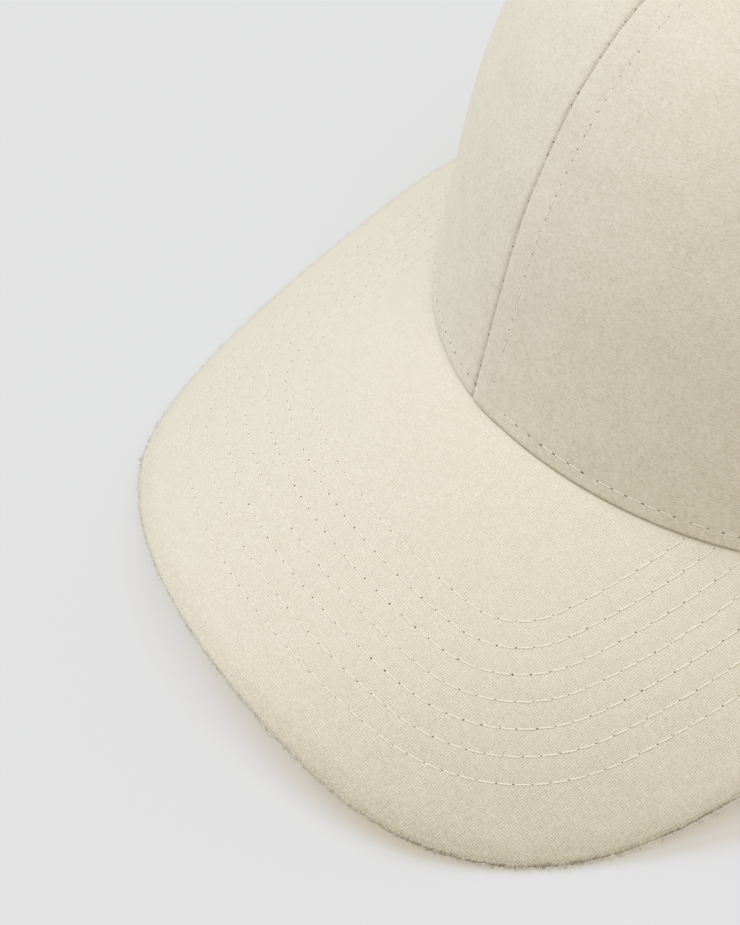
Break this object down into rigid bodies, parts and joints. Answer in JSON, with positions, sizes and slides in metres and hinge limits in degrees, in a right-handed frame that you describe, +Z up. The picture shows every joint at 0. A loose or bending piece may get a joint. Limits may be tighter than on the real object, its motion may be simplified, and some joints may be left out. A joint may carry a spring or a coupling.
{
  "type": "peaked cap",
  "caption": "Peaked cap with a crown of sewn wool panels, a curved stiff peak with rows of stitching, a sweatband inside and a covered button on top.",
  "frame": {"origin": "middle of the object's footprint on the surface that it rests on", "axes": "+Z up, -Y the way the wearer faces, +X the wearer's left"},
  "size_m": [0.171, 0.2616, 0.1328],
  "materials": {
    "wool": "brushed wool cloth with a soft nap",
    "band_cloth": "plain woven cloth"
  },
  "bodies": {
    "root": {"peak": "wool", "crown_front_left": "wool", "crown_side_left": "wool", "crown_back_left": "wool", "crown_back_right": "wool", "crown_side_right": "wool", "crown_front_right": "wool", "sweatband": "band_cloth", "top_button": "wool"}
  },
  "joints": []
}
